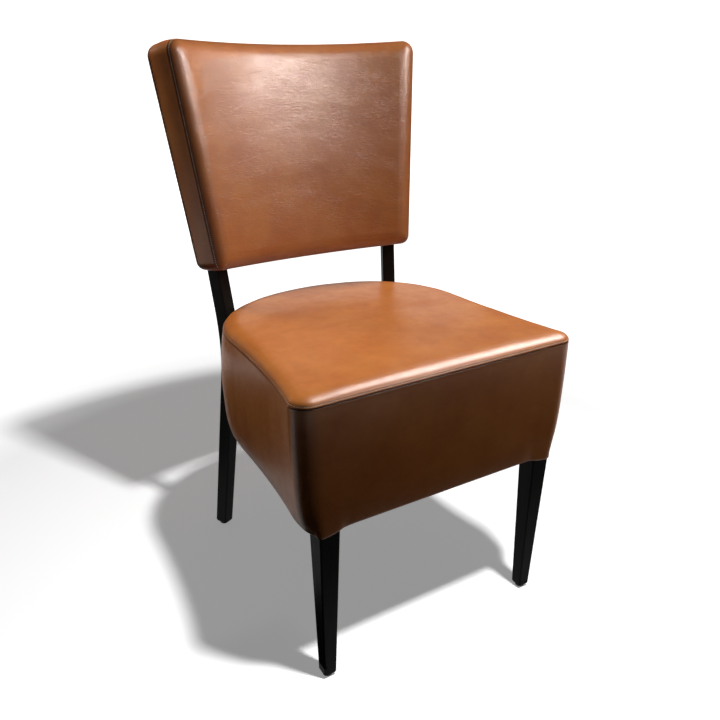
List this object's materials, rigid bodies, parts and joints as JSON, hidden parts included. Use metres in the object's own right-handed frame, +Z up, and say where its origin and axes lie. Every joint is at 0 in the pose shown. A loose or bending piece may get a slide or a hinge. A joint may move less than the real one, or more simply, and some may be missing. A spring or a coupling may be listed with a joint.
{
  "type": "parsons chair",
  "caption": "Side chair with a deep boxed seat, rounded at the rear, and a curved leaning back pad, covered in leather, on slim tapered dark wooden legs.",
  "frame": {"origin": "on the floor under the middle of the chair's bounding box", "axes": "+X to the right as seen from the front, +Y from the front to the back, +Z up"},
  "size_m": [0.4792, 0.5392, 0.8903],
  "materials": {
    "leather": "glossy brown leather with a fine grain",
    "stained_wood": "near-black stain under satin lacquer",
    "frame_wood": "bare beech",
    "plywood": "bare bent plywood",
    "foam": "upholstery foam",
    "wadding": "white wadding",
    "webbing": "woven elastic webbing",
    "dust_cloth": "black non-woven cloth",
    "steel": "zinc-plated steel",
    "glide_plastic": "moulded nylon"
  },
  "bodies": {
    "root": {"front_leg_left": "stained_wood", "front_leg_right": "stained_wood", "rear_leg_left": "stained_wood", "rear_leg_right": "stained_wood", "leg_block_left": "stained_wood", "leg_block_right": "stained_wood", "glide_front_left": "glide_plastic", "glide_front_right": "glide_plastic", "glide_rear_left": "glide_plastic", "glide_rear_right": "glide_plastic", "seat_rail_front": "frame_wood", "seat_rail_side_left": "frame_wood", "seat_rail_side_right": "frame_wood", "seat_rail_rear": "frame_wood", "corner_block_left": "frame_wood", "corner_block_right": "frame_wood", "corner_screw_1_left": "steel", "corner_screw_1_right": "steel", "corner_screw_2_left": "steel", "corner_screw_2_right": "steel", "leg_bolt_1_left": "steel", "leg_bolt_1_right": "steel", "leg_bolt_2_left": "steel", "leg_bolt_2_right": "steel", "dowel_front_1_left": "frame_wood", "dowel_front_1_right": "frame_wood", "dowel_front_2_left": "frame_wood", "dowel_front_2_right": "frame_wood", "dowel_side_1_left": "frame_wood", "dowel_side_1_right": "frame_wood", "dowel_side_2_left": "frame_wood", "dowel_side_2_right": "frame_wood", "dowel_rear_1_left": "frame_wood", "dowel_rear_1_right": "frame_wood", "dowel_rear_2_left": "frame_wood", "dowel_rear_2_right": "frame_wood", "webbing_lengthwise_1": "webbing", "webbing_lengthwise_2": "webbing", "webbing_lengthwise_3": "webbing", "webbing_crosswise_1": "webbing", "webbing_crosswise_2": "webbing", "webbing_crosswise_3": "webbing", "seat_foam": "foam", "skirt_padding": "wadding", "seat_cover_top": "leather", "seat_cover_skirt": "leather", "dust_cover": "dust_cloth", "back_rail_top": "frame_wood", "back_rail_lower": "frame_wood", "back_panel": "plywood", "panel_screw_1_left": "steel", "panel_screw_1_right": "steel", "panel_screw_2_left": "steel", "panel_screw_2_right": "steel", "back_foam_front": "foam", "back_foam_rear": "foam", "back_cover_front": "leather", "back_cover_boxing": "leather", "back_cover_rear": "leather"}
  },
  "joints": []
}
